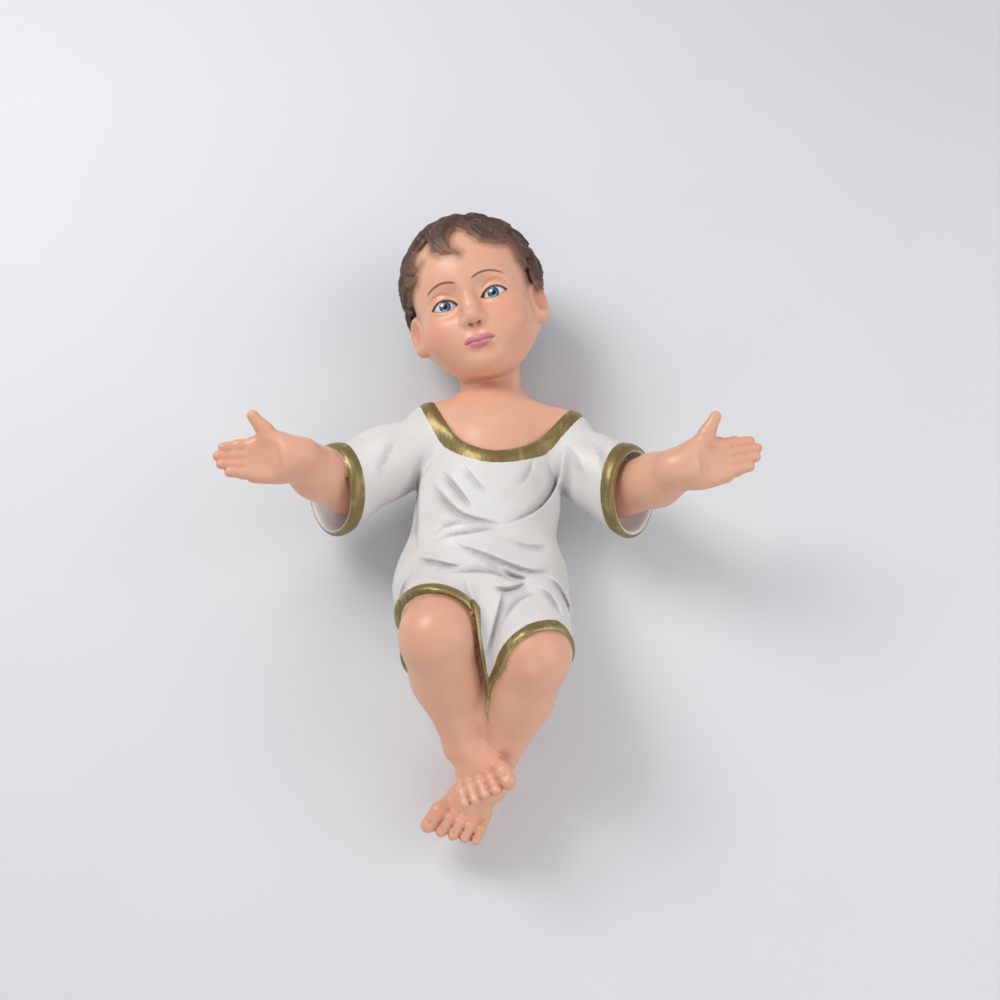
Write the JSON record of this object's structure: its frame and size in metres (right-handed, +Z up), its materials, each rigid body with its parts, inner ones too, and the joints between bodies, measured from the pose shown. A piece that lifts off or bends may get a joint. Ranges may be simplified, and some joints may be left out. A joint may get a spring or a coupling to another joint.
{
  "type": "baby jesus figurine",
  "caption": "Painted cast figurine of an infant lying on its back with open arms and crossed feet, in a short white tunic with gold borders.",
  "frame": {"origin": "on the floor under the middle of the figure's bounding box", "axes": "+X to the figure's left hand, +Y from the feet to the crown, +Z up from the floor"},
  "size_m": [0.2594, 0.3262, 0.0936],
  "materials": {
    "painted_casting": "satin painted plaster, flesh tones, off-white cloth, old gold borders and brown hair"
  },
  "bodies": {
    "root": {"baby_jesus_figurine": "painted_casting"}
  },
  "joints": []
}
